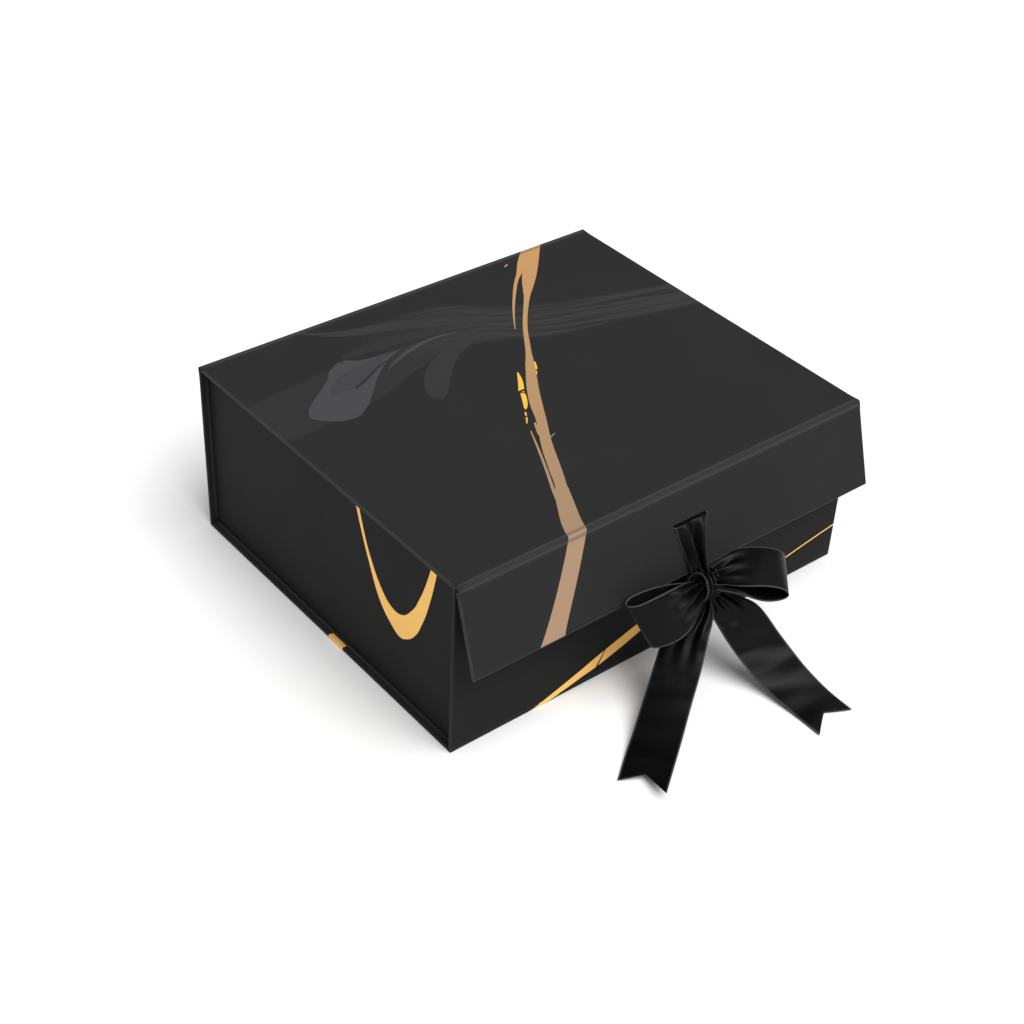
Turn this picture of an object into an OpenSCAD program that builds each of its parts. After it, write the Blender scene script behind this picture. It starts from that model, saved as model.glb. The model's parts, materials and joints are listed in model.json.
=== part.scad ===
// Book-style gift box: a five-panel case, two standing side walls and a satin ribbon tie.
// Origin at the centre of the base's underside, X to the right, Y to the back, Z up.
// The lid is closed and the bow is tied.

/* [Box] */
// Width of the case from side to side
box_w = 330; // [300:2:360]
// Depth of the case from front to back
box_d = 278; // [260:2:300]
// Height of the closed box
box_h = 130; // [128:1:140]
// Distance of each side wall in from the edge of the base
side_inset = 4.8; // [3:0.2:8]

/* [Panels] */
// Thickness of the greyboard
board_t = 2; // [1.8:0.1:2.2]
// Thickness of the wrap, its turn-ins and the linings
paper_t = 0.2; // [0.15:0.05:0.25]
// Width of the wrap's turn-ins on the inner faces
turn_in = 15; // [10:1:16]
// Bare margin between a lining and the edge of its panel
lining_margin = 3; // [2:0.5:5]
// Width of the corner tabs that fold off the side walls
tab_w = 20; // [14:1:26]
// Thickness of a corner tab
tab_t = 1; // [0.6:0.1:1.2]

/* [Flap] */
// Length of the flap from its crease to its free edge
flap_l = 60; // [58:1:61]
// Angle by which the flap stands away from upright
flap_splay = 17.5; // [16:0.5:19]

/* [Ribbon] */
// Width of the ribbon
ribbon_w = 33.5; // [30:0.5:36]
// Thickness of the ribbon
ribbon_t = 0.6; // [0.4:0.1:0.8]
// Width of the slots that the ribbon is drawn through
slot_w = 29; // [27:1:31]
// Height of the slots
slot_t = 2; // [1.6:0.2:2.4]
// Place of the slots to the right of the middle
slot_x = 10; // [8:1:12]
// Distance of the flap's slot from the flap's crease
flap_slot_at = 24; // [22:0.5:26]
// Height of the front wall's slot above the table
front_slot_z = 60; // [58:1:61]
// Number of steps between two stations of a ribbon's path
ribbon_steps = 5; // [3:1:8]

/* [Hidden] */
panel_t = board_t + 3 * paper_t;
// Creases turn about the middle of the panels' thickness, and the panels stop short of them.
crease_r = 1.2;
crease_gap = 1.4;
lid_axis = [0, box_d / 2 - panel_t / 2, box_h - panel_t / 2];
flap_axis = [0, -box_d / 2 - 1.5, box_h - panel_t / 2];
lid_l = lid_axis.y - flap_axis.y - 2 * crease_gap;
wall_foot = panel_t - paper_t;
wall_l = lid_axis.z - crease_gap - wall_foot;
side_face = box_w / 2 - side_inset;
side_w = box_d - 2 * panel_t;
side_drop = 0.1;
side_l = wall_foot + wall_l - panel_t - side_drop;
tape_t = paper_t;
tape_w = tab_w - 4;
// The bow hangs from this line in the middle of the flap's free edge.
edge_axis = flap_axis + flap_l * [0, -sin(flap_splay), -cos(flap_splay)];
fold_r = 1.1;
fold_w = 9;
fold_gap = 0.2;
flap_panel_l = flap_l - crease_gap - fold_r - fold_gap;
// Each ribbon's end is glued flat inside its panel, under a patch of lining paper.
anchor_l = 16;
patch_w = 44;
patch_l = 24;
patch_lap = 4;
slot_ribbon_w = slot_w - 1;
slot_ribbon_t = slot_t - 0.8;
// The ribbons are gathered where they reach the knot.
gather_w = 9;
gather_t = 1.4;
gather_l = 1;
gather_above_edge = 9.5;
front_gap = 0.4;
front_ribbon_t = 0.8;
front_ribbon_h = 1;
tie_drop = 8;
tie_h = 4;
knot = [8, -170, 69];
knot_r = 7.6;
knot_half_h = 2.5;
notch_depth = ribbon_w * 0.32;
notch_cut_h = 24;
charcoal = [0.15, 0.15, 0.155];
front_black = [0.1, 0.1, 0.105];
inside_black = [0.07, 0.07, 0.075];
greyboard = [0.45, 0.43, 0.4];
satin = [0.05, 0.05, 0.055];
tape_white = [0.85, 0.84, 0.8];

// Stations along each ribbon: centre x, y, z, then the direction of its width, then its width.
loop_right_path = [
    [16.5, -173.6, 76.5, -0.61, -0.78, -0.15, 12], [28, -179.5, 79.8, -0.61, -0.78, -0.15, 32],
    [40, -187.5, 80, -0.61, -0.78, -0.15, 33.5], [48.5, -193.8, 77.8, -0.64, -0.76, -0.14, 33.5],
    [52, -196.5, 73.2, -0.64, -0.76, -0.14, 33.5], [48.5, -193.8, 69, -0.64, -0.76, -0.14, 33.5],
    [39, -187, 68.5, -0.61, -0.78, -0.15, 33.5], [27, -179.7, 71, -0.61, -0.78, -0.15, 26],
    [17, -174.5, 69.5, -0.61, -0.78, -0.15, 12]];
loop_left_path = [
    [-1, -175.5, 72, 0.31, -0.44, -0.84, 12], [-16, -179, 71, 0.31, -0.44, -0.84, 28],
    [-31, -180, 69, 0.31, -0.44, -0.84, 33.5], [-44, -177.4, 66.8, 0.31, -0.44, -0.84, 33.5],
    [-49.5, -172.5, 66, 0.31, -0.44, -0.84, 33.5], [-44, -169, 66.8, 0.31, -0.44, -0.84, 33.5],
    [-32, -169, 67.5, 0.31, -0.44, -0.84, 32], [-16, -169.8, 69, 0.31, -0.44, -0.84, 25],
    [-2.5, -170.5, 70, 0.31, -0.44, -0.84, 12]];
tail_right_path = [
    [12, -175, 56.5, 0.85, -0.4, -0.2, 12], [22.5, -184, 47, 0.9, -0.35, 0.1, 29],
    [33, -198.5, 27, 0.93, -0.3, 0.15, 33], [41, -216.5, 9, 0.97, -0.22, 0.08, 33.5],
    [44.5, -237, 1.6, 1, 0, 0, 33.5], [44.5, -260, 0.8, 1, 0.12, 0, 33.5]];
tail_left_path = [
    [1.5, -175, 55.5, 0.7, -0.65, -0.1, 12], [-8.5, -176.5, 46, 0.47, -0.88, 0.06, 26],
    [-26, -186.3, 27, 0.47, -0.88, 0.06, 30], [-40, -195, 17, 0.45, -0.89, 0.08, 30.5],
    [-59, -207.9, 9, 0.38, -0.9, 0.16, 32], [-75.3, -219, 5.4, 0.33, -0.92, 0.22, 33.5],
    [-93.1, -231.9, 4.4, 0.32, -0.92, 0.24, 33.5]];

// A panel lies in its own plane: x from the middle, y from one end, z from its outer face inwards.
module slab(w, l, margin, z, t) {
    translate([-w / 2 + margin, margin, z]) cube([w - 2 * margin, l - 2 * margin, t]);
}

module panel_board(w, l) {
    slab(w, l, paper_t, paper_t, board_t);
}

// The wrap covers the outer face and the edges, and turns in over the board's inner face.
module panel_wrap(w, l) {
    difference() {
        slab(w, l, 0, 0, panel_t - paper_t);
        slab(w, l, paper_t, paper_t, board_t);
        slab(w, l, turn_in, panel_t / 2, panel_t);
    }
}

// The lining fills the space inside the turn-ins and laps over them.
module panel_lining(w, l) {
    slab(w, l, turn_in, panel_t - 2 * paper_t, paper_t);
    slab(w, l, lining_margin, panel_t - paper_t, paper_t);
}

module panel_slot(at) {
    translate([slot_x - slot_w / 2, at - slot_t / 2, -panel_t]) cube([slot_w, slot_t, 3 * panel_t]);
}

// Each of these lays a panel in its place on the box.
module on_base() {
    translate([0, -box_d / 2, 0]) children();
}

module on_back() {
    translate([0, box_d / 2, wall_foot]) rotate([90, 0, 0]) children();
}

module on_front() {
    mirror([0, 1, 0]) on_back() children();
}

module on_left() {
    translate([-side_face, 0, panel_t]) rotate([90, 0, 90]) children();
}

module on_right() {
    mirror([1, 0, 0]) on_left() children();
}

module on_lid() {
    translate([0, flap_axis.y + crease_gap, box_h]) mirror([0, 0, 1]) children();
}

module on_flap() {
    translate(flap_axis) rotate([-90 - flap_splay, 0, 0]) translate([0, 0, -panel_t / 2]) children();
}

module crease(axis) {
    translate([-box_w / 2, axis.y, axis.z]) rotate([0, 90, 0]) cylinder(h = box_w, r = crease_r, $fn = 32);
}

module base_board() color(greyboard) on_base() panel_board(box_w, box_d);
module base_wrap() color(front_black) on_base() panel_wrap(box_w, box_d);
module base_lining() color(inside_black) on_base() panel_lining(box_w, box_d);

module back_board() color(greyboard) on_back() panel_board(box_w, wall_l);
module back_wrap() color(front_black) on_back() panel_wrap(box_w, wall_l);
module back_lining() color(inside_black) on_back() panel_lining(box_w, wall_l);

module front_panel() {
    difference() {
        on_front() children();
        on_front() panel_slot(front_slot_z - wall_foot);
    }
}

module front_board() color(greyboard) front_panel() panel_board(box_w, wall_l);
module front_wrap() color(front_black) front_panel() panel_wrap(box_w, wall_l);
module front_lining() color(inside_black) front_panel() panel_lining(box_w, wall_l);

module left_side_board() color(greyboard) on_left() panel_board(side_w, side_l);
module left_side_wrap() color(front_black) on_left() panel_wrap(side_w, side_l);
module left_side_lining() color(inside_black) on_left() panel_lining(side_w, side_l);

module right_side_board() color(greyboard) on_right() panel_board(side_w, side_l);
module right_side_wrap() color(front_black) on_right() panel_wrap(side_w, side_l);
module right_side_lining() color(inside_black) on_right() panel_lining(side_w, side_l);

// One strip in each corner, laid against the inner face of the front or the back wall.
module corner_strips(w, gap, t) {
    side_inner = side_face - panel_t;
    wall_inner = box_d / 2 - panel_t;
    for (turned_x = [0, 1], turned_y = [0, 1])
        mirror([turned_x, 0, 0]) mirror([0, turned_y, 0])
            translate([side_inner - w, wall_inner - gap - t, turn_in])
                cube([w, t, side_l - 2 * turn_in]);
}

module corner_tabs() color(inside_black) corner_strips(tab_w, tape_t, tab_t);
module adhesive_strips() color(tape_white) corner_strips(tape_w, 0, tape_t);

module lid_crease() color(charcoal) crease(lid_axis);
module lid_board() color(greyboard) on_lid() panel_board(box_w, lid_l);
module lid_wrap() color(charcoal) on_lid() panel_wrap(box_w, lid_l);
module lid_lining() color(inside_black) on_lid() panel_lining(box_w, lid_l);

module flap_crease() color(charcoal) crease(flap_axis);

module flap_panel() {
    difference() {
        on_flap() translate([0, crease_gap, 0]) children();
        on_flap() panel_slot(flap_slot_at);
    }
}

module flap_board() color(greyboard) flap_panel() panel_board(box_w, flap_panel_l);
module flap_wrap() color(charcoal) flap_panel() panel_wrap(box_w, flap_panel_l);
module flap_lining() color(inside_black) flap_panel() panel_lining(box_w, flap_panel_l);

// The glued end of a ribbon: through its slot, then flat on the panel's inner face.
module ribbon_anchor(at) {
    translate([slot_x - slot_ribbon_w / 2, at - slot_ribbon_t / 2, 0])
        cube([slot_ribbon_w, slot_ribbon_t, panel_t]);
    translate([slot_x - slot_ribbon_w / 2, at - slot_ribbon_t / 2, panel_t])
        cube([slot_ribbon_w, anchor_l, ribbon_t]);
}

module anchor_patch(at) {
    translate([slot_x - patch_w / 2, at - patch_lap, panel_t + ribbon_t]) cube([patch_w, patch_l, paper_t]);
}

// The drawn-down ribbon on the flap's outer face, gathered towards the knot.
module upper_ribbon() color(satin) on_flap() {
    ribbon_anchor(flap_slot_at);
    hull() {
        translate([slot_x - slot_ribbon_w / 2, flap_slot_at - slot_ribbon_t / 2, -front_ribbon_t])
            cube([slot_ribbon_w, slot_ribbon_t, front_ribbon_t]);
        translate([knot.x - gather_w / 2, flap_l - gather_above_edge, -gather_t])
            cube([gather_w, gather_l, gather_t]);
    }
}

module upper_ribbon_patch() color(inside_black) on_flap() anchor_patch(flap_slot_at);

module lower_ribbon() color(satin) on_front() ribbon_anchor(front_slot_z - wall_foot);
module lower_ribbon_patch() color(inside_black) on_front() anchor_patch(front_slot_z - wall_foot);

// The outer stretch of the lower ribbon, from its slot to the back of the knot.
module lower_ribbon_end() {
    wall_y = -box_d / 2 - front_gap;
    color(satin) hull() {
        translate([slot_x - slot_ribbon_w / 2, wall_y - front_ribbon_t, front_slot_z - front_ribbon_h / 2])
            cube([slot_ribbon_w, front_ribbon_t, front_ribbon_h]);
        translate([knot.x - gather_w / 2, edge_axis.y, edge_axis.z - tie_drop])
            cube([gather_w, gather_l, tie_h]);
    }
}

// The ribbon's turn round the flap's free edge.
module ribbon_fold() color(satin)
    translate([knot.x - fold_w / 2, edge_axis.y, edge_axis.z]) rotate([0, 90, 0])
        cylinder(h = fold_w, r = fold_r, $fn = 32);

module bow_knot() color(satin) hull() {
    for (dz = [-knot_half_h, knot_half_h]) translate(knot + [0, 0, dz]) sphere(r = knot_r, $fn = 24);
}

function unit(v) = v / norm(v);
function spline(a, b, c, d, t) =
    (2 * b + (c - a) * t + (2 * a - 5 * b + 4 * c - d) * t * t + (3 * b - a - 3 * c + d) * t * t * t) / 2;
function smooth(rows, steps) = let (last = len(rows) - 1) [
    for (i = [0 : last - 1], k = [0 : steps - 1])
        spline(rows[max(i - 1, 0)], rows[i], rows[i + 1], rows[min(i + 2, last)], k / steps),
    rows[last]];
function place(row) = [row[0], row[1], row[2]];
function heading(rows, i) =
    unit(place(rows[min(i + 1, len(rows) - 1)]) - place(rows[max(i - 1, 0)]));
function across(row) = unit([row[3], row[4], row[5]]);
function ribbon_ring(row, along) =
    let (side = across(row) * row[6] / 2, up = unit(cross(along, side)) * ribbon_t / 2, c = place(row))
    [c - side - up, c + side - up, c + side + up, c - side + up];

// A flat strip swept through a path's stations.
module ribbon(path) {
    rows = smooth(path, ribbon_steps);
    last = len(rows) - 1;
    points = [for (i = [0 : last]) each ribbon_ring(rows[i], heading(rows, i))];
    walls = [for (i = [0 : last - 1], k = [0 : 3])
        let (a = 4 * i + k, b = 4 * i + (k + 1) % 4) each [[a, b, b + 4], [a, b + 4, a + 4]]];
    first_end = [[0, 2, 1], [0, 3, 2]];
    last_end = [[4 * last, 4 * last + 1, 4 * last + 2], [4 * last, 4 * last + 2, 4 * last + 3]];
    polyhedron(points, concat(walls, first_end, last_end), convexity = 6);
}

// A tail ends in a swallowtail notch.
module tail(path) {
    rows = smooth(path, ribbon_steps);
    last = len(rows) - 1;
    along = heading(rows, last);
    difference() {
        ribbon(path);
        translate(place(rows[last])) rotate([0, 0, atan2(along.y, along.x)])
            translate([0, 0, -notch_cut_h / 2]) linear_extrude(notch_cut_h)
                polygon([[-notch_depth, 0], [1, -ribbon_w / 2 - 1], [1, ribbon_w / 2 + 1]]);
    }
}

module bow_loop_left() color(satin) ribbon(loop_left_path);
module bow_loop_right() color(satin) ribbon(loop_right_path);
module bow_tail_left() color(satin) tail(tail_left_path);
module bow_tail_right() color(satin) tail(tail_right_path);

base_board();
back_board();
front_board();
base_wrap();
back_wrap();
front_wrap();
base_lining();
back_lining();
front_lining();
left_side_board();
right_side_board();
left_side_wrap();
right_side_wrap();
left_side_lining();
right_side_lining();
corner_tabs();
adhesive_strips();
lid_crease();
lower_ribbon();
lower_ribbon_patch();
lower_ribbon_end();
lid_board();
lid_wrap();
lid_lining();
flap_crease();
flap_board();
flap_wrap();
flap_lining();
upper_ribbon();
upper_ribbon_patch();
ribbon_fold();
bow_knot();
bow_loop_left();
bow_loop_right();
bow_tail_left();
bow_tail_right();
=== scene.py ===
import json
import math

import bmesh
import bpy
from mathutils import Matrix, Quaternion, Vector


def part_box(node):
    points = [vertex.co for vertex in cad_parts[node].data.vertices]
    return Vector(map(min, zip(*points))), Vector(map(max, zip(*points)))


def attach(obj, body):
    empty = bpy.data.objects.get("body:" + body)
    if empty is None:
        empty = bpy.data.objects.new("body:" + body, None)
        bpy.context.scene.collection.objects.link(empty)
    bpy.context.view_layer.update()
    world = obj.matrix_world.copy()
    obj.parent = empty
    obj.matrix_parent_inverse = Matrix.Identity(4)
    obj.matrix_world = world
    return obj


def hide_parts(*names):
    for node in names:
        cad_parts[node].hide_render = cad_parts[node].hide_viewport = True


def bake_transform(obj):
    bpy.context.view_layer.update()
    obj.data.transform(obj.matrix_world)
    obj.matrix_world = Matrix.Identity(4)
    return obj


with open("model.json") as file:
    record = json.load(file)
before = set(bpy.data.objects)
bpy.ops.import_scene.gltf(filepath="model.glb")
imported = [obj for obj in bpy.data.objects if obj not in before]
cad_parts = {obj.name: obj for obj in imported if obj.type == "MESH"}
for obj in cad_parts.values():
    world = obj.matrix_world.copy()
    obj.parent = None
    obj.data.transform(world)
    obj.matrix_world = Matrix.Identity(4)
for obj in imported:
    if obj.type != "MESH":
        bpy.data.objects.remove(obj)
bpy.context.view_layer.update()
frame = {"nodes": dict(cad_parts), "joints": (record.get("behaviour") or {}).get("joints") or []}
mm = 0.001

# camera and light

cameraSpec = {
    "place": (-0.6492, -0.7577, 0.7832),
    "azimuth": 40.24,  # degrees to the right of +Y
    "elevation": 37.29,
    "roll": 2.824,
    "lens": 63.93,
}

studio = {
    "worldColour": (1.0, 1.0, 1.0),
    "worldStrength": 0.46,
    "floorColour": (0.8, 0.8, 0.8),
    "floorReach": 8.0,
    "floorDrop": 0.0004,
    "sunStrength": 3.7,
    "sunAngle": 50.0,  # degrees, wide enough for soft shadows
    "sunFrom": (0.06, -0.5, 0.86),
}


def makeCamera(spec):
    data = bpy.data.cameras.new("camera")
    data.lens = spec["lens"]
    data.sensor_width = 36
    data.clip_end = 20
    camera = bpy.data.objects.new("camera", data)
    bpy.context.scene.collection.objects.link(camera)
    azimuth, elevation = math.radians(spec["azimuth"]), math.radians(spec["elevation"])
    look = Vector((
        math.sin(azimuth) * math.cos(elevation),
        math.cos(azimuth) * math.cos(elevation),
        -math.sin(elevation),
    ))
    camera.location = spec["place"]
    camera.rotation_mode = "QUATERNION"
    roll = Quaternion((0, 0, 1), math.radians(spec["roll"]))
    camera.rotation_quaternion = look.to_track_quat("-Z", "Y") @ roll
    bpy.context.scene.camera = camera


def makeSun(spec):
    data = bpy.data.lights.new("softSun", "SUN")
    data.energy = spec["sunStrength"]
    data.angle = math.radians(spec["sunAngle"])
    light = bpy.data.objects.new("softSun", data)
    bpy.context.scene.collection.objects.link(light)
    light.rotation_mode = "QUATERNION"
    light.rotation_quaternion = (-Vector(spec["sunFrom"])).to_track_quat("-Z", "Y")


# shader maths


class Wire:
    # a socket that Python's operators can add Math nodes to
    def __init__(self, paint, socket):
        self.paint = paint
        self.socket = socket

    def __add__(self, other):
        return self.paint.math("ADD", self, other)

    def __sub__(self, other):
        return self.paint.math("SUBTRACT", self, other)

    def __rsub__(self, other):
        return self.paint.math("SUBTRACT", other, self)

    def __mul__(self, other):
        return self.paint.math("MULTIPLY", self, other)

    def __truediv__(self, other):
        return self.paint.math("DIVIDE", self, other)

    def __abs__(self):
        return self.paint.math("ABSOLUTE", self)

    def __or__(self, other):  # either mask
        return self.paint.math("MAXIMUM", self, other)

    def __and__(self, other):  # both masks
        return self.paint.math("MINIMUM", self, other)

    def above(self, edge, soft=0.1):
        # 0 below the edge and 1 above it, over a soft step
        return self.paint.math("MULTIPLY_ADD", self - edge, 1 / soft, 0.5, clamp=True)

    def below(self, edge, soft=0.1):
        return 1 - self.above(edge, soft)

    __radd__ = __add__
    __rmul__ = __mul__


class Paint:
    def __init__(self, name, **numbers):
        self.material = bpy.data.materials.new(name)
        self.material.use_nodes = True
        self.nodes = self.material.node_tree.nodes
        self.links = self.material.node_tree.links
        self.shader = self.nodes["Principled BSDF"]
        for socket, value in numbers.items():
            self.shader.inputs[socket.replace("_", " ")].default_value = value

    def node(self, kind, settings=None, out=0, **sockets):
        made = self.nodes.new(kind)
        for key, value in (settings or {}).items():
            setattr(made, key, value)
        for key, value in sockets.items():
            place = int(key[1:]) if key[0] == "i" and key[1:].isdigit() else key.replace("_", " ")
            if isinstance(value, Wire):
                self.links.new(value.socket, made.inputs[place])
            else:
                made.inputs[place].default_value = value
        return Wire(self, made.outputs[out])

    def math(self, operation, *values, clamp=False):
        sockets = {f"i{k}": value for k, value in enumerate(values)}
        return self.node("ShaderNodeMath", {"operation": operation, "use_clamp": clamp}, **sockets)

    def mix(self, share, low, high):
        return self.node("ShaderNodeMix", {"data_type": "RGBA"}, out=2, i0=share, i6=low, i7=high)

    def set(self, **sockets):
        for socket, wire in sockets.items():
            self.links.new(wire.socket, self.shader.inputs[socket.replace("_", " ")])

    def bump(self, height, strength, distance):
        self.set(Normal=self.node(
            "ShaderNodeBump", Height=height, Strength=strength, Distance=distance))

    def place(self, attribute=None):
        # x, y and z in millimetres
        if attribute:
            vector = self.node("ShaderNodeAttribute", {"attribute_name": attribute}, out=1)
        else:
            vector = self.node("ShaderNodeTexCoord", out=3)
        split = self.node("ShaderNodeSeparateXYZ", i0=vector)
        parts = split.socket.node.outputs
        return vector, [Wire(self, parts[k]) / mm for k in range(3)]

    def mark(self, name):
        return self.node("ShaderNodeAttribute", {"attribute_name": name}, out=2)

    def noise(self, vector, scale, detail=3.0, roughness=0.5, stretch=None):
        if stretch:
            vector = self.node("ShaderNodeMapping", Vector=vector, Scale=stretch)
        return self.node("ShaderNodeTexNoise", Vector=vector, Scale=scale, Detail=detail,
                         Roughness=roughness)

    def flow(self, wire, points):
        # a smooth curve through a few (input, output) points
        ins = [p[0] for p in points]
        outs = [p[1] for p in points]
        low, high = min(outs), max(outs)
        span = (high - low) or 1
        share = (wire - ins[0]) / (ins[-1] - ins[0])
        made = self.nodes.new("ShaderNodeFloatCurve")
        curve = made.mapping.curves[0]
        steps = [((i - ins[0]) / (ins[-1] - ins[0]), (o - low) / span) for i, o in points]
        curve.points[0].location = steps[0]
        curve.points[1].location = steps[-1]
        for step in steps[1:-1]:
            curve.points.new(*step)
        made.mapping.use_clip = False
        made.mapping.update()
        self.links.new(share.socket, made.inputs["Value"])
        return Wire(self, made.outputs[0]) * span + low

    def band(self, across, along, middle, half, soft=0.25):
        # a stroke whose middle and half width change along it
        inside = self.flow(along, half) - abs(across - self.flow(along, middle))
        ends = along.above(middle[0][0], soft) & along.below(middle[-1][0], soft)
        return inside.above(0, soft) & ends


# printed papers

printing = {
    "charcoal": (0.0146, 0.0146, 0.0146, 1),
    "charcoalWorn": (0.0195, 0.0195, 0.0193, 1),
    "nearBlack": (0.0086, 0.0086, 0.0086, 1),
    "nearBlackWorn": (0.0118, 0.0118, 0.0117, 1),
    "brushGrey": (0.036, 0.036, 0.038, 1),
    "bulbGrey": (0.060, 0.060, 0.064, 1),
    # the lighter colour on rounded edges and crease ridges: partly rubbed paper, partly painted highlight
    "wornEdgeAndHighlight": (0.05, 0.05, 0.052, 1),
    "copperBack": (0.52, 0.29, 0.115, 1),
    "copperFront": (0.34, 0.225, 0.142, 1),
    "gold": (0.95, 0.55, 0.15, 1),
    "brightGold": (0.85, 0.50, 0.06, 1),
    "paperRoughness": 0.62,
    "foilRoughness": 0.42,
    "paperShine": 0.07,
    "foilMetal": 0.3,
}


def paperGrain(paint, vector, mask, edge):
    # the fine tooth of coated paper, a little flatter where foil is pressed on
    tooth = paint.noise(vector, 2600, 4, 0.6)
    slow = paint.noise(vector, 38, 3, 0.55)
    paint.bump(tooth * (1 - mask * 0.7) + slow * 0.4, 0.10, 0.00012)
    rough = printing["paperRoughness"] + (slow - 0.5) * 0.10 - edge * 0.08
    paint.set(Roughness=rough - mask * (printing["paperRoughness"] - printing["foilRoughness"]))


def lidPaper(name, attribute=None):
    # charcoal print of the lid and flap: one copper band, gold flecks and grey brush strokes
    paint = Paint(name, Specular_IOR_Level=printing["paperShine"])
    vector, (x, y, z) = paint.place(attribute)
    along = y - (130 - z) * 0.733  # runs on down the flap
    edge = paint.mark("edge")
    foil = copperBand(paint, x, along)
    gold = goldFlecks(paint, x, along)
    haze, strokes, bulb = brushStrokes(paint, x, y)
    fade = paint.math("MULTIPLY_ADD", along, 1 / 275, 0.5, clamp=True)
    copperTone = paint.mix(fade, printing["copperFront"], printing["copperBack"])
    mottle = paint.noise(vector, 14, 5, 0.6)
    base = paint.mix(mottle, printing["charcoal"], printing["charcoalWorn"])
    base = paint.mix(haze * 0.3, base, printing["brushGrey"])
    base = paint.mix(strokes * 0.85, base, printing["brushGrey"])
    base = paint.mix(bulb * 0.68, base, printing["bulbGrey"])
    base = paint.mix(foil, base, copperTone)
    base = paint.mix(gold & (1 - foil), base, printing["brightGold"])
    # lighter on rounded edges and crease ridges: partly rubbed paper, partly painted highlight
    base = paint.mix(edge * 0.6, base, printing["wornEdgeAndHighlight"])
    paint.set(Base_Color=base)
    paint.set(Metallic=(gold | (foil & (1 - edge))) * printing["foilMetal"])
    paperGrain(paint, vector, foil | gold, edge)
    return paint.material


def copperBand(paint, x, along):
    # each stroke is a row of (along, middle) and a row of (along, half width)
    main = paint.band(
        x, along,
        [(-202, -107), (-150, -80), (-132, -73), (-118, -65.6), (-104, -57.6), (-97, -53), (-84, -46.2),
         (-60, -33.4), (-39, -20.2), (-16, -7.2), (16, 14.8), (32, 26.2), (56, 43), (79, 62.5), (94, 76.3),
         (108, 88.8), (114, 94.2), (140, 116.3)],
        [(-202, 9.8), (-150, 7), (-132, 7), (-118, 6.4), (-104, 5.3), (-97, 4.2), (-84, 4.4),
         (-60, 4.2), (-39, 3.9), (-16, 4.8), (16, 3.8), (32, 2.3), (56, 2), (79, 2.4), (94, 4.6),
         (108, 6.8), (114, 7.2), (140, 8.5)])
    branch = paint.band(
        x, along, [(57, 35), (75, 48.1), (93, 63), (108, 77), (114, 84), (128, 97), (140, 110)],
        [(57, 0.3), (75, 0.9), (93, 1.4), (108, 1.9), (114, 2.6), (128, 3), (140, 3)])
    hairline = paint.band(
        x, along, [(-118, -68.5), (-104, -62.8), (-84, -52.5), (-62, -41.5), (-44, -33)],
        [(-118, 1.6), (-104, 1.3), (-84, 1), (-62, 0.8), (-44, 0.4)])
    hook = paint.band(x, along, [(-50, -31.2), (-44, -28), (-38, -25)], [(-50, 0.8), (-44, 1), (-38, 0.5)])
    barb = paint.band(along, x, [(-27, -56.5), (-22, -54.5)], [(-27, 0.5), (-22, 0.2)], 0.4)
    return main | branch | hairline | hook | barb


def goldFlecks(paint, x, along):
    upper = paint.band(x, along, [(-4, -8.6), (4, -3), (14, 2.6)], [(-4, 2.4), (4, 1.9), (14, 0.3)])
    lower = paint.band(x, along, [(-23, -20), (-15, -14.5), (-6, -9.5)], [(-23, 0.4), (-15, 1.9), (-6, 1.5)])
    crack = paint.band(along, x, [(-17, -8.2), (-12, -5.4), (-8, -8.4), (-3, -6)],
                       [(-17, 0.7), (-12, 1.1), (-8, 0.8), (-3, 0.7)], 0.4)
    drips = paint.band(x, along, [(-29, -24.6), (-25.5, -22.6)], [(-29, 0.6), (-25.5, 0.6)]) | paint.band(
        x, along, [(-36, -29.6), (-30.5, -25.6)], [(-36, 0.5), (-30.5, 0.7)])
    dashes = paint.band(
        x, along, [(9.5, 15), (13, 17.4), (17.5, 20)], [(9.5, 0.9), (13, 0.8), (17.5, 0.4)])
    dashes = dashes | paint.band(x, along, [(4.5, 10.8), (8, 13.4)], [(4.5, 0.8), (8, 1)])
    dot = paint.band(along, x, [(82, 128), (85.5, 129.4)], [(82, 0.3), (85.5, 0.5)], 0.4)
    return ((upper | lower) & (1 - crack)) | drips | dashes | dot


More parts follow.
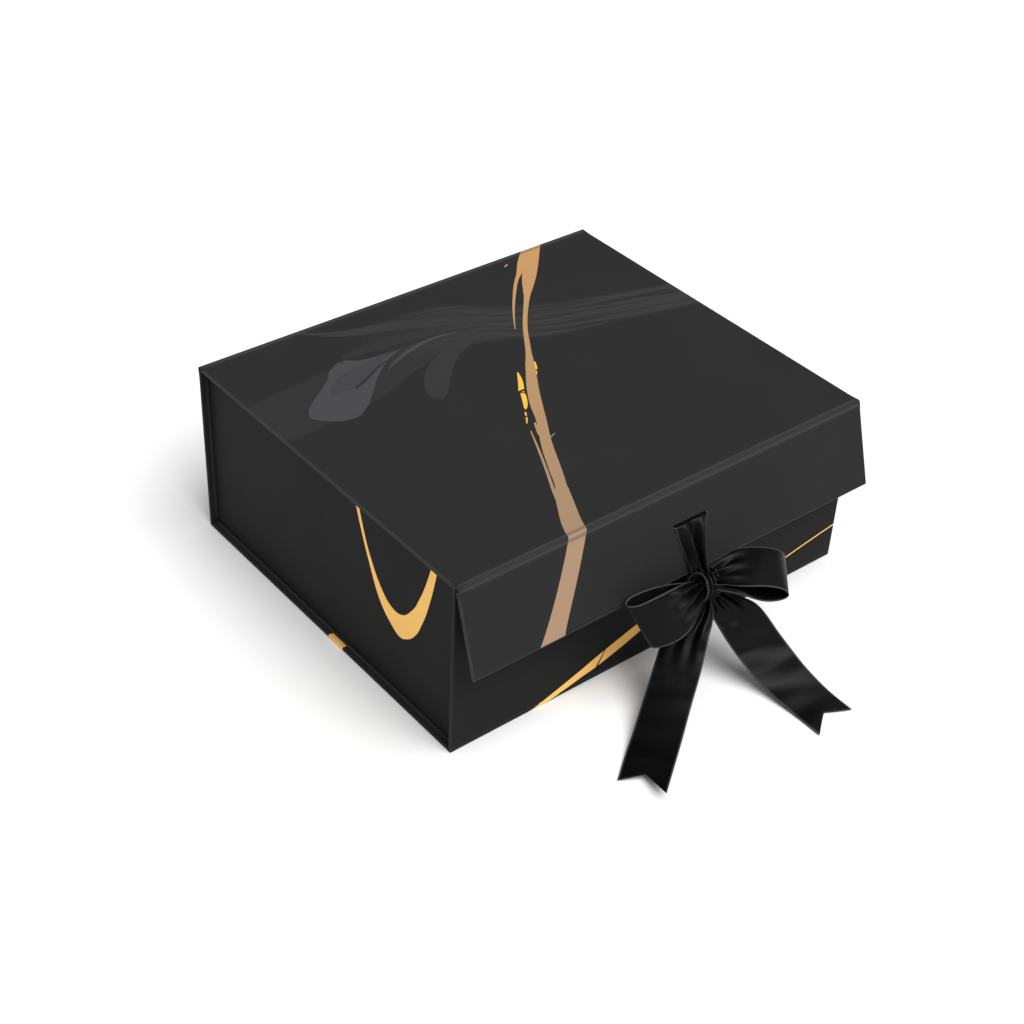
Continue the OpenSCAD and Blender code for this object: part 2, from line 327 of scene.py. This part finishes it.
def brushStrokes(paint, x, y):
    # dry-brush sweep from the right edge that fans out over the left half of the lid
    middle = [(-60, 92), (0, 86), (50, 60), (105, 42), (165, 26)]
    sweep = paint.band(y, x, middle, [(-60, 5), (0, 26), (50, 22), (105, 17), (165, 15)], 5)
    grain = paint.node("ShaderNodeCombineXYZ", i0=x * 0.006, i1=(y - paint.flow(x, middle)) * 0.13, i2=0.0)
    streaks = paint.noise(grain, 1.5, 4, 0.65).above(0.47, 0.14)
    fadeIn = paint.math("MULTIPLY_ADD", x, 1 / 90, 0.65, clamp=True)
    leaf = paint.band(y, x, [(-90, 137), (-59, 116.5), (-36, 110), (-14, 100), (16, 86), (50, 65)],
                      [(-90, 0.3), (-59, 4.5), (-36, 5.6), (-14, 6), (16, 4.5), (50, 1)], 0.8)
    wash = paint.band(y, x, [(-165, 57), (-99, 63), (-54, 68), (-24, 70), (10, 68), (40, 58)],
                      [(-165, 23), (-99, 24), (-54, 15), (-24, 10), (10, 6), (40, 1)], 1.2)
    hook = paint.band(x, y, [(17, -56), (26, -53), (40, -43), (52, -30), (62, -8)],
                      [(17, 0.4), (26, 8), (40, 11.5), (52, 13), (62, 16)], 0.8)
    arc = paint.band(y, x, [(-65, 65), (-52, 72), (-36, 77.2), (-17, 79.5), (2, 74.5)],
                     [(-65, 0.3), (-52, 1.3), (-36, 1.7), (-17, 1.3), (2, 0.2)], 0.6)
    upper = paint.flow(x, [(-138, 48), (-135, 54), (-129, 60), (-118, 68), (-106, 77), (-94, 88),
                           (-84, 91), (-74, 85), (-60, 82.5), (-44, 81)])
    lower = paint.flow(x, [(-138, 47), (-134, 42), (-126, 35), (-114, 31.5), (-103, 36.5), (-90, 48),
                           (-78, 60), (-66, 70), (-56, 76.5), (-44, 80.8)])
    bulb = y.above(lower, 0.6) & y.below(upper, 0.6) & x.above(-138, 0.3) & x.below(-44, 0.3)
    heart = paint.band(y, x, [(-112, 62), (-104, 66), (-92, 69.5), (-78, 74), (-64, 78.5), (-46, 81)],
                       [(-112, 1), (-104, 6), (-92, 8.5), (-78, 6), (-64, 3), (-46, 0.3)], 0.7)
    split = paint.band(y, x, [(-96, 59), (-86, 63), (-74, 69), (-60, 75)],
                       [(-96, 0.4), (-86, 1.3), (-74, 1.2), (-60, 0.3)], 0.6)
    fork = paint.band(x, y, [(88, -86), (94, -84), (101, -82)], [(88, 0.2), (94, 1.6), (101, 4)], 0.5)
    wedge = paint.band(y, x, [(-82, 94), (-50, 93), (0, 84), (40, 72)],
                       [(-82, 2), (-50, 5), (0, 6), (40, 1)], 1)
    strokes = (sweep & (streaks * fadeIn * 0.75 + 0.12)) | leaf * 0.75 | hook * 0.65 | wedge * 0.4
    bulb = bulb * (1 - heart * 0.3) * (1 - split) * (1 - fork)
    return wash, strokes, bulb | arc * 0.9


def casePaper(name):
    # near-black print of the walls and base, with gold strokes that run over its edges
    paint = Paint(name, Specular_IOR_Level=printing["paperShine"])
    vector, (x, y, z) = paint.place()
    edge = paint.mark("edge")
    onFront = y.below(-138, 0.5)
    streak = paint.band(z, x, [(-112, -3), (-84, 3.5), (-62, 9.5), (-43, 15), (-18, 23), (-4, 28)],
                        [(-112, 0.3), (-84, 2.2), (-62, 3.4), (-43, 4.6), (-18, 4.4), (-4, 1)])
    slit = paint.band(x, z, [(0, -54), (14, -46), (30, -38)], [(0, 1.4), (14, 0.7), (30, 0.3)])
    fine = paint.band(z, x, [(92, 12), (120, 18.6), (165, 26.5)], [(92, 0.4), (120, 0.55), (165, 0.55)])
    frontGold = onFront & ((streak & (1 - slit)) | fine)
    onLeft = x.below(-160, 0.1) & x.above(-161, 0.1)
    outer = paint.flow(y, [(-118, 132), (-110, 97), (-103, 76), (-95, 60), (-87, 52), (-80, 49),
                           (-71, 53), (-60, 63), (-50, 82), (-32, 130)])
    inner = paint.flow(y, [(-118, 152), (-107, 111), (-100, 93), (-92, 78), (-80, 67), (-70, 67.5),
                           (-61, 74.5), (-51, 89), (-43, 107), (-32, 150)])
    swoop = z.above(outer, 0.3) & z.below(inner, 0.3) & y.above(-117.9, 0.3) & y.below(-32.1, 0.3)
    onLip = x.below(-160.5, 0.1) & z.below(3, 0.2)
    lip = onLip & y.above(-24, 0.3) & y.below(-8 - (x + 165) * 0.3, 0.3)
    gold = frontGold | (onLeft & swoop) | lip
    mottle = paint.noise(vector, 14, 5, 0.6)
    base = paint.mix(mottle, printing["nearBlack"], printing["nearBlackWorn"])
    base = paint.mix(gold, base, printing["gold"])
    # lighter on the walls' rounded edges: partly rubbed paper, partly painted highlight
    base = paint.mix(edge * 0.3 * (1 - gold), base, printing["wornEdgeAndHighlight"])
    paint.set(Base_Color=base, Metallic=gold * printing["foilMetal"])
    paperGrain(paint, vector, gold, edge)
    return paint.material


def liningPaper():
    paint = Paint("liningPaper", Specular_IOR_Level=0.4)
    vector, _ = paint.place()
    fibre = paint.noise(vector, 900, 5, 0.65)
    paint.set(Base_Color=paint.mix(fibre, (0.012, 0.012, 0.0125, 1), (0.022, 0.022, 0.023, 1)))
    paint.set(Roughness=0.72 + (fibre - 0.5) * 0.15)
    paint.bump(fibre, 0.18, 0.00015)
    return paint.material


def greyboard():
    paint = Paint("greyboard", Specular_IOR_Level=0.25)
    vector, _ = paint.place()
    pulp = paint.noise(vector, 420, 6, 0.7)
    fibre = paint.noise(vector, 1500, 3, 0.6, stretch=(1, 0.25, 1))
    paint.set(Base_Color=paint.mix(pulp, (0.20, 0.185, 0.16, 1), (0.36, 0.335, 0.295, 1)))
    paint.set(Roughness=0.86 + (fibre - 0.5) * 0.1)
    paint.bump(pulp + fibre * 0.6, 0.3, 0.0002)
    return paint.material


def tissueTape():
    paint = Paint("tissueTape", Specular_IOR_Level=0.4)
    vector, _ = paint.place()
    fibre = paint.noise(vector, 700, 5, 0.7)
    paint.set(Base_Color=paint.mix(fibre, (0.62, 0.60, 0.54, 1), (0.80, 0.78, 0.72, 1)))
    paint.set(Roughness=0.5 + fibre * 0.2)
    paint.bump(fibre, 0.2, 0.0001)
    return paint.material


# satin

satinSpec = {
    "colour": (0.0012, 0.0012, 0.0013, 1),
    "worn": (0.0026, 0.0026, 0.0028, 1),
    "roughness": 0.33,
    "shine": 0.12,
    "edgePitch": 1.3,  # millimetres between the loops of the woven edge
    "edgeWidth": 0.03,  # share of the ribbon's width
}


def satin():
    paint = Paint("satinRibbon", Specular_IOR_Level=satinSpec["shine"])
    uv = paint.node("ShaderNodeUVMap", {"uv_map": "ribbon"})
    parts = paint.node("ShaderNodeSeparateXYZ", i0=uv).socket.node.outputs
    across, along = Wire(paint, parts[0]), Wire(paint, parts[1])  # share of width, millimetres
    fromEdge = 0.5 - abs(across - 0.5)
    selvedge = fromEdge.below(satinSpec["edgeWidth"], 0.008)
    dots = paint.math("SINE", along * (2 * math.pi / satinSpec["edgePitch"])).above(0.1, 0.5)
    weft = paint.math("SINE", along * (2 * math.pi / 0.28))
    warp = paint.math("SINE", across * (2 * math.pi * 120))
    place = paint.node("ShaderNodeCombineXYZ", i0=across * 34, i1=along * 0.25, i2=0.0)
    slub = paint.noise(place, 3, 4, 0.6)
    # soft waves that cross the ribbon, which satin shows as broad light and dark bands
    place = paint.node("ShaderNodeCombineXYZ", i0=across * 0.45, i1=along * 0.042, i2=0.0)
    wave = paint.noise(place, 1, 1, 0.3)
    tone = paint.mix(slub, satinSpec["colour"], satinSpec["worn"])
    tone = paint.mix(selvedge * dots * 0.9, tone, (0.10, 0.10, 0.104, 1))
    paint.set(Base_Color=tone)
    paint.set(Roughness=satinSpec["roughness"] + (slub - 0.5) * 0.12 + selvedge * 0.25)
    height = warp * 0.02 + weft * 0.02 + slub * 0.06 + selvedge * dots * 0.15 + wave * 30
    paint.bump(height, 0.4, 0.001)
    return paint.material


finishes = {
    "lid": lidPaper("lidPaper"),
    "fold": lidPaper("foldPaper", "restPlace"),
    "case": casePaper("casePaper"),
    "lining": liningPaper(),
    "board": greyboard(),
    "tape": tissueTape(),
    "satin": satin(),
}
print("materials made")

# mesh helpers


def newPiece(name, points, faces, finish, smooth=True):
    mesh = bpy.data.meshes.new(name)
    mesh.from_pydata([Vector(p) * mm for p in points], [], faces)
    mesh.validate()
    for polygon in mesh.polygons:
        polygon.use_smooth = smooth
    mesh.materials.append(finishes[finish])
    piece = bpy.data.objects.new(name, mesh)
    bpy.context.scene.collection.objects.link(piece)
    return piece


def addMark(piece, name, values):
    mark = piece.data.attributes.new(name, "FLOAT", "POINT")
    mark.data.foreach_set("value", values)


def addRestPlace(piece):
    mark = piece.data.attributes.new("restPlace", "FLOAT_VECTOR", "POINT")
    for vertex, value in zip(piece.data.vertices, mark.data):
        value.vector = vertex.co


def outwards(piece):
    mesh = bmesh.new()
    mesh.from_mesh(piece.data)
    bmesh.ops.recalc_face_normals(mesh, faces=mesh.faces)
    mesh.to_mesh(piece.data)
    mesh.free()


def applyModifiers(piece):
    graph = bpy.context.evaluated_depsgraph_get()
    finished = bpy.data.meshes.new_from_object(piece.evaluated_get(graph), depsgraph=graph)
    piece.modifiers.clear()
    piece.data = finished


# wrapped panels

panelSpec = {
    "paper": 0.2,
    "turnIn": 15.0,
    "edgeRadius": 0.55,
    "cornerRadius": 0.7,
    "arcSteps": 3,
    "flapSplay": math.radians(17.5),
    "creaseGap": 1.4,  # from a hinge line to the edge of the board beside it
    "half": 1.3,  # from a panel's middle to its outer face
    "flatFrom": 6.0,  # how far in from the edge the paper's flat middle begins
    "flatArea": 2500.0,  # faces larger than this are shaded flat
}

jointPlace = {joint["name"]: Vector(joint["pos_m"]) / mm for joint in frame["joints"]}
flapDown = Vector((0, -math.sin(panelSpec["flapSplay"]), -math.cos(panelSpec["flapSplay"])))
flapIn = Vector((0, math.cos(panelSpec["flapSplay"]), -math.sin(panelSpec["flapSplay"])))


def panelFrame(name):
    # the middle of one end of a panel's outer face, its two directions and its size
    low, high = (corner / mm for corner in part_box(name + "_wrap"))
    size = high - low
    right, up, back = Vector((1, 0, 0)), Vector((0, 0, 1)), Vector((0, 1, 0))
    if name == "base":
        return Vector((0, low.y, low.z)), right, back, up, size.x, size.y, size.z
    if name == "lid":
        return Vector((0, low.y, high.z)), right, back, -up, size.x, size.y, size.z
    if name == "back":
        return Vector((0, high.y, low.z)), right, up, -back, size.x, size.z, size.y
    if name == "front":
        return Vector((0, low.y, low.z)), right, up, back, size.x, size.z, size.y
    if name == "left_side":
        return Vector((low.x, 0, low.z)), back, up, right, size.y, size.z, size.x
    if name == "right_side":
        return Vector((high.x, 0, low.z)), back, up, -right, size.y, size.z, size.x
    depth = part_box("base_wrap")[1].z / mm
    boardMiddle = (depth + panelSpec["paper"]) / 2
    length = (size.z - depth * -flapIn.z) / -flapDown.z
    crease = jointPlace["flap_hinge"]
    start = crease + flapDown * panelSpec["creaseGap"] - flapIn * boardMiddle
    return Vector((0, start.y, start.z)), right, flapDown, flapIn, size.x, length, depth


def ringPoints(width, length, inset, depth, origin, across, along, inward):
    # one rounded rectangle, inset from the panel's edge, at a depth below its outer face
    radius = max(panelSpec["cornerRadius"] - inset, 0.02)
    steps = panelSpec["arcSteps"]
    points = []
    corners = [
        (width / 2 - inset - radius, inset + radius, -90),
        (width / 2 - inset - radius, length - inset - radius, 0),
        (-width / 2 + inset + radius, length - inset - radius, 90),
        (-width / 2 + inset + radius, inset + radius, 180),
    ]
    for cx, cy, turn in corners:
        for k in range(steps + 1):
            angle = math.radians(turn + 90 * k / steps)
            px, py = cx + radius * math.cos(angle), cy + radius * math.sin(angle)
            points.append(origin + across * px + along * py + inward * depth)
    return points


def wrapProfile(depth):
    # (inset, depth, share of the lighter edge colour) round the wrap's section, from the outer face to the
    # turn-in and back inside; that colour is partly rubbed paper, partly painted highlight on the rounded
    # edge
    radius, paper, turnIn = panelSpec["edgeRadius"], panelSpec["paper"], panelSpec["turnIn"]
    steps = panelSpec["arcSteps"]
    flatFrom = panelSpec["flatFrom"]
    profile = [(flatFrom, 0, 0), (radius + 0.8, 0, 0)]
    for k in range(steps + 1):
        angle = math.radians(90 * k / steps)
        profile.append((radius * (1 - math.sin(angle)), radius * (1 - math.cos(angle)),
                        1.0 if 0 < k < steps else 0.7))
    for k in range(steps + 1):
        angle = math.radians(90 * k / steps)
        profile.append((radius * (1 - math.cos(angle)), depth - radius * (1 - math.sin(angle)), 0.5))
    profile += [(turnIn, depth, 0), (turnIn, depth - paper, 0), (paper, depth - paper, 0),
                (paper, paper, 0), (flatFrom, paper, 0)]
    return profile


def wrappedPanel(name, finish):
    origin, across, along, inward, width, length, depth = panelFrame(name)
    points, wearAndHighlight, faces = [], [], []
    profile = wrapProfile(depth)
    # the third number sets how much of the lighter edge colour a ring gets: partly worn paper, partly
    # painted highlight
    for inset, level, worn in profile:
        ring = ringPoints(width, length, inset, level, origin, across, along, inward)
        points += ring
        wearAndHighlight += [worn] * len(ring)
    count = len(ring)
    for row in range(len(profile) - 1):
        for k in range(count):
            a, b = row * count + k, row * count + (k + 1) % count
            faces.append((a, b, b + count, a + count))
    faces.append(tuple(range(count)))
    faces.append(tuple(range((len(profile) - 1) * count, len(profile) * count)))
    piece = newPiece(name + "_paper", points, faces, finish)
    addMark(piece, "edge", wearAndHighlight)
    outwards(piece)
    for polygon in piece.data.polygons:
        polygon.use_smooth = polygon.area < panelSpec["flatArea"] * mm * mm
    return piece


# the cut runs from above the outer face to below the inner one
slotSpec = {"x": 10.0, "width": 29.0, "height": 2.0, "onFlap": 24.0, "onFront": 60.0, "cut": (-4, 8)}


def cutSlot(piece, middle, across, along, inward, size):
    points = []
    for side in (-1, 1):
        for step in (-1, 1):
            for level in slotSpec["cut"]:
                points.append(middle + across * side * size[0] / 2 + along * step * size[1] / 2
                              + inward * level)
    cutter = newPiece("cutter", points, [(0, 1, 3, 2), (4, 6, 7, 5), (0, 4, 5, 1), (2, 3, 7, 6),
                                         (0, 2, 6, 4), (1, 5, 7, 3)], "board", False)
    outwards(cutter)
    modifier = piece.modifiers.new("slot", "BOOLEAN")
    modifier.object = cutter
    modifier.operation = "DIFFERENCE"
    modifier.solver = "EXACT"
    applyModifiers(piece)
    bpy.data.objects.remove(cutter)


for name in ["base", "back", "front", "left_side", "right_side", "lid", "flap"]:
    body = name if name in ("lid", "flap") else "box"
    finish = "case" if body == "box" else "lid"
    piece = wrappedPanel(name, finish)
    slotSize = (slotSpec["width"], slotSpec["height"])
    if name == "front":
        middle = Vector((slotSpec["x"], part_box("front_wrap")[0].y / mm, slotSpec["onFront"]))
        cutSlot(piece, middle, Vector((1, 0, 0)), Vector((0, 0, 1)), Vector((0, 1, 0)), slotSize)
    if name == "flap":
        middle = jointPlace["flap_hinge"] + flapDown * slotSpec["onFlap"] + Vector((slotSpec["x"], 0, 0))
        cutSlot(piece, middle, Vector((1, 0, 0)), flapDown, flapIn, slotSize)
    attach(piece, body)
    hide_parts(name + "_wrap")
print("wrapped panels made")

# folded paper at the creases

foldSpec = {"lap": 5.0, "sink": 0.3, "ridge": 0.12, "dip": 0.12, "lift": 0.03, "thickness": 0.16, "steps": 7,
            "columns": 34, "innerShare": 0.55, "rise": 1.2, "edge": 0.3}


def foldSheet(name, crease, outA, outB, goA, goB):
    # a bent strip from the outer face of panel A over the crease to panel B, and its lining inside
    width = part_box("lid_wrap")[1].x / mm - 0.1
    half = panelSpec["half"]
    gap = panelSpec["creaseGap"]
    spec = foldSpec
    profile = []
    for face in (1, -1):
        lift = spec["lift"] * face
        ridge = lift + spec["ridge"] * max(face, 0)
        sunk = -spec["sink"] * face
        level = half if face > 0 else half * spec["innerShare"]  # the lining stays clear of the wall
        # the second number of each point is its share of the lighter edge colour: painted highlight,
        # strongest on the two ridges of the crease and weaker in the dip and where the strip rises, with
        # some worn paper
        line = [
            (crease + goA * (gap + spec["lap"]) + outA * (level * face + sunk), 0),
            (crease + goA * (gap + spec["rise"]) + outA * (level * face + lift), 0.2),
            (crease + goA * (gap + spec["edge"]) + outA * (level * face + ridge), 1),
        ]
        middle = (outA + outB).normalized()
        reach = half / max(middle.dot(outA), 0.3)
        if face > 0:
            line.append((crease + middle * (reach - spec["dip"]), 0.25))
        else:
            line.append((crease - middle * (half * 0.5), 0))
        line += [
            (crease + goB * (gap + spec["edge"]) + outB * (level * face + ridge), 1),
            (crease + goB * (gap + spec["rise"]) + outB * (level * face + lift), 0.2),
            (crease + goB * (gap + spec["lap"]) + outB * (level * face + sunk), 0),
        ]
        profile.append(line)
    points, wearAndHighlight, faces = [], [], []
    columns = spec["columns"]
    for line in profile:
        base = len(points)
        smoothLine = smoothRows([list(p) + [w] for p, w in line], spec["steps"])
        for row in smoothLine:
            for k in range(columns + 1):
                points.append(Vector((-width + 2 * width * k / columns, row[1], row[2])))
                wearAndHighlight.append(row[3])
        rows = len(smoothLine)
        for r in range(rows - 1):
            for k in range(columns):
                a = base + r * (columns + 1) + k
                faces.append((a, a + 1, a + columns + 2, a + columns + 1))
    piece = newPiece(name, points, faces, "fold")
    addMark(piece, "edge", [max(0.0, min(1.0, w)) for w in wearAndHighlight])
    thick = piece.modifiers.new("thickness", "SOLIDIFY")
    thick.thickness = spec["thickness"] * mm
    thick.offset = 0
    applyModifiers(piece)
    outwards(piece)
    addRestPlace(piece)
    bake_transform(piece)
    return piece


def splineAt(a, b, c, d, t):
    return (2 * b + (c - a) * t + (2 * a - 5 * b + 4 * c - d) * t * t + (3 * b - a - 3 * c + d) * t ** 3) / 2


def smoothRows(rows, steps):
    last = len(rows) - 1
    result = []
    for i in range(last):
        for k in range(steps):
            result.append([splineAt(a, b, c, d, k / steps) for a, b, c, d in zip(
                rows[max(i - 1, 0)], rows[i], rows[i + 1], rows[min(i + 2, last)])])
    result.append(list(rows[last]))
    return result


up, back = Vector((0, 0, 1)), Vector((0, 1, 0))
lidFold = foldSheet("lid_fold", jointPlace["lid_hinge"], back, up, -up, -back)
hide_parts("lid_crease")
flapFold = foldSheet("flap_fold", jointPlace["flap_hinge"], up, -flapIn, back, flapDown)
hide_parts("flap_crease")
print("creases made")

# satin ribbon

ribbonSpec = {"width": 33.5, "thickness": 0.35, "steps": 8, "across": 36, "notch": 10.5}


def ribbonSheet(name, stations, pleats=3, notch=0.0, phase=0.0):
    # each station: middle x, y, z, direction of the width, shown width, how much of the rest is pleated
    steps, across, full = ribbonSpec["steps"], ribbonSpec["across"], ribbonSpec["width"]
    rows = smoothRows(stations, steps)
    middles = [Vector(row[:3]) for row in rows]
    lengths = [0.0]
    for a, b in zip(middles, middles[1:]):
        lengths.append(lengths[-1] + (b - a).length)
    total = lengths[-1]

    def rowAt(distance):
        k = 0
        while k < len(lengths) - 2 and lengths[k + 1] < distance:
            k += 1
        share = (distance - lengths[k]) / max(lengths[k + 1] - lengths[k], 1e-6)
        row = [a + (b - a) * share for a, b in zip(rows[k], rows[k + 1])]
        ahead = middles[min(k + 2, len(middles) - 1)] - middles[max(k - 1, 0)]
        return row, ahead.normalized()

    count = len(rows)
    points, coords = [], []
    for i in range(count):
        for j in range(across + 1):
            side = 2 * j / across - 1
            distance = (total - notch * (1 - abs(side))) * i / (count - 1)
            row, ahead = rowAt(distance)
            wide = Vector(row[3:6]).normalized()
            normal = ahead.cross(wide).normalized()
            shown = row[6]
            # pleats this deep take up the width that doesn't show
            depth = row[7] * math.sqrt(max(full * full - shown * shown, 0)) / (4 * pleats)
            wave = math.sin(pleats * math.pi * side + phase)
            points.append(Vector(row[:3]) + wide * side * shown / 2 + normal * depth * wave)
            coords.append((j / across, distance))
    faces = []
    for i in range(count - 1):
        for j in range(across):
            a = i * (across + 1) + j
            faces.append((a, a + 1, a + across + 2, a + across + 1))
    piece = newPiece(name, points, faces, "satin")
    layer = piece.data.uv_layers.new(name="ribbon")
    for loop in piece.data.loops:
        layer.data[loop.index].uv = coords[loop.vertex_index]
    thick = piece.modifiers.new("thickness", "SOLIDIFY")
    thick.thickness = ribbonSpec["thickness"] * mm
    thick.offset = 0
    applyModifiers(piece)
    outwards(piece)
    return piece


def onFlap(x, s, out):
    # a point s millimetres down the flap and out millimetres off its outer face
    across = Vector((x, 0, 0))
    return list(jointPlace["flap_hinge"] + across + flapDown * s - flapIn * (panelSpec["half"] + out))


right = [1, 0, 0]
centreValley = -math.pi / 2  # puts a valley down the ribbon's middle
upperStations = [
    onFlap(10, 38, -3.1) + right + [28, 0.1],
    onFlap(10, 28, -3.1) + right + [28, 0.1],
    onFlap(10, 24.2, -2.4) + right + [28, 0.2],
    onFlap(10, 24, -1) + right + [28, 0.25],
    onFlap(10, 24.1, 0.4) + right + [28, 0.3],
    onFlap(10, 25.6, 1.8) + right + [27, 0.5],
    onFlap(9.8, 30, 2.6) + right + [24.5, 0.8],
    onFlap(9.2, 36, 3.4) + right + [20.5, 0.95],
    onFlap(8.6, 44, 4.4) + right + [15, 1],
    onFlap(8, 51, 5.4) + right + [11.5, 1],
]
upperRibbon = ribbonSheet("upper_ribbon_satin", upperStations, 2, 0, centreValley)
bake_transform(upperRibbon)
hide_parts("upper_ribbon")

foldStations = [
    onFlap(7.9, 49.5, 5.5) + right + [10.8, 1],
    onFlap(7.6, 54, 6.4) + right + [10, 1],
    onFlap(7.4, 57, 7.8) + right + [9.5, 1],
    onFlap(7.2, 60, 9) + right + [9.5, 1],
]
foldRibbon = ribbonSheet("ribbon_turn_satin", foldStations, 2, 0, centreValley)
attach(foldRibbon, "bow")
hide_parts("ribbon_fold")

lowerStations = [
    [10, -135.6, 44] + right + [28, 0.1],
    [10, -135.6, 56] + right + [28, 0.1],
    [10, -136.6, 59.8] + right + [28, 0.2],
    [10, -138, 60] + right + [28, 0.25],
    [10, -139.6, 60.1] + right + [28, 0.4],
    [9.6, -143, 60.8] + right + [26, 0.9],
    [8.8, -148, 62.4] + right + [20, 1],
    [7.8, -153, 64.4] + right + [13, 1],
    [7.2, -158.4, 66.2] + right + [10, 1],
]
lowerRibbon = ribbonSheet("lower_ribbon_satin", lowerStations, 2, 0, centreValley)
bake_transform(lowerRibbon)
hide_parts("lower_ribbon", "lower_ribbon_end")

flat = [-0.61, -0.78, -0.15]  # the right loop lies flat, with its near opening to the front
turned = [-0.64, -0.76, -0.14]
loopRightStations = [
    [11, -171, 73.5] + flat + [11, 1],
    [18, -174.5, 77.5] + flat + [22, 0.9],
    [28, -179.5, 79.8] + flat + [32, 0.6],
    [40, -187.5, 80] + flat + [33.5, 0],
    [48.5, -193.8, 77.8] + turned + [33.5, 0],
    [52, -196.5, 73.2] + turned + [33.5, 0],
    [48.5, -193.8, 69] + turned + [33.5, 0],
    [39, -187, 68.5] + flat + [33.5, 0],
    [26, -179, 71.5] + flat + [26, 0.8],
    [12, -172, 70.5] + flat + [11, 1],
]
upright = [0.31, -0.44, -0.84]  # the left loop stands on edge
loopLeftStations = [
    [2, -171.5, 71] + upright + [11, 1],
    [-6, -175.5, 72] + upright + [19, 0.9],
    [-17, -179, 71] + upright + [28, 0.7],
    [-31, -180, 69] + upright + [33.5, 0],
    [-44, -177.4, 66.8] + upright + [33.5, 0],
    [-49.5, -172.5, 66] + upright + [33.5, 0],
    [-44, -169, 66.8] + upright + [33.5, 0],
    [-32, -169, 67.5] + upright + [32, 0],
    [-17, -169.6, 69] + upright + [25, 0.6],
    [0, -170, 70] + upright + [11, 1],
]
tailRightStations = [
    [12, -173.5, 64, 0.85, -0.4, -0.1, 13, 1],
    [18, -177.5, 57, 0.88, -0.38, 0.06, 23, 0.9],
    [24.5, -184.5, 47.5, 0.9, -0.35, 0.14, 31, 0.5],
    [33, -198.5, 27, 0.93, -0.3, 0.15, 33, 0],
    [41, -216.5, 9, 0.97, -0.22, 0.08, 33.5, 0],
    [44.5, -237, 1.6, 1, 0, 0, 33.5, 0],
    [44.5, -260, 0.8, 1, 0.12, 0, 33.5, 0],
]
tilted = [0.47, -0.88, 0.06]  # the left tail comes to rest on its far edge
tailLeftStations = [
    [5, -173, 62, 0.8, -0.5, -0.2, 11, 1],
    [0, -175.5, 55, 0.7, -0.65, -0.1, 18, 1],
    [-8.5, -176.5, 46] + tilted + [26, 0.8],
    [-16, -180, 36] + tilted + [29, 0.4],
    [-26, -186.3, 27] + tilted + [30, 0],
    [-40, -195, 17, 0.45, -0.89, 0.08, 30.5, 0],
    [-59, -207.9, 9, 0.38, -0.9, 0.16, 32, 0],
    [-75.3, -219, 5.4, 0.33, -0.92, 0.22, 33.5, 0],
    [-93.1, -231.9, 4.4, 0.32, -0.92, 0.24, 33.5, 0],
]
madeBow = {}
for node, stations, notch, phase in [
        ("bow_loop_right", loopRightStations, 0, 0.3), ("bow_loop_left", loopLeftStations, 0, 1.4),
        ("bow_tail_right", tailRightStations, ribbonSpec["notch"], 0.2),
        ("bow_tail_left", tailLeftStations, ribbonSpec["notch"], 1.7)]:
    piece = ribbonSheet(node + "_satin", stations, 3, notch, phase)
    if "tail" in node:
        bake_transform(piece)
    else:
        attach(piece, "bow")
    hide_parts(node)
    madeBow[node] = piece

knotSpec = {"middle": (8, -170.2, 69), "lean": 1.6, "deep": 7.4, "tall": 8.6, "width": 16.0, "steps": 12}


def knotStations():
    # once round the middle of the bow, from behind
    spec = knotSpec
    stations = []
    for k in range(spec["steps"] + 1):
        angle = 2 * math.pi * k / spec["steps"]
        turn = Vector((spec["lean"] * math.sin(angle), spec["deep"] * math.cos(angle),
                       spec["tall"] * math.sin(angle)))
        stations.append(list(Vector(spec["middle"]) + turn) + [1, 0.1, -0.25, spec["width"], 0.85])
    return stations


knot = ribbonSheet("bow_knot_satin", knotStations(), 4, 0, 0.4)
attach(knot, "bow")
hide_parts("bow_knot")
print("ribbons made")

# CAD nodes that stay

for name, node in frame["nodes"].items():
    if name.endswith("_board"):
        key = "board"
    elif name == "adhesive_strips":
        key = "tape"
    else:
        key = "lining"
    node.data.materials.clear()
    node.data.materials.append(finishes[key])

# what each ribbon was cut from

for piece, length, held in [
        (upperRibbon, 56, "stretched"), (foldRibbon, 12, "gathered"), (lowerRibbon, 40, "stretched"),
        (madeBow["bow_loop_right"], 103, "folded"), (madeBow["bow_loop_left"], 109, "folded"),
        (madeBow["bow_tail_right"], 121, "hung"), (madeBow["bow_tail_left"], 137, "hung"),
        (knot, 54, "gathered")]:
    length * mm

# studio

floorMesh = bpy.data.meshes.new("floor")
reach, drop = studio["floorReach"], studio["floorDrop"]
floorMesh.from_pydata([(-reach, -reach, -drop), (reach, -reach, -drop), (reach, reach, -drop),
                       (-reach, reach, -drop)], [], [(0, 1, 2, 3)])
floor = bpy.data.objects.new("floor", floorMesh)
bpy.context.scene.collection.objects.link(floor)
floorPaint = Paint("floorPaint", Roughness=0.9, Specular_IOR_Level=0.1)
floorPaint.shader.inputs["Base Color"].default_value = (*studio["floorColour"], 1)
floorMesh.materials.append(floorPaint.material)

world = bpy.data.worlds.new("studio")
bpy.context.scene.world = world
world.use_nodes = True
background = world.node_tree.nodes["Background"]
background.inputs["Color"].default_value = (*studio["worldColour"], 1)
background.inputs["Strength"].default_value = studio["worldStrength"]
makeSun(studio)
bpy.context.scene.view_settings.view_transform = "Standard"
makeCamera(cameraSpec)

print("scene made")
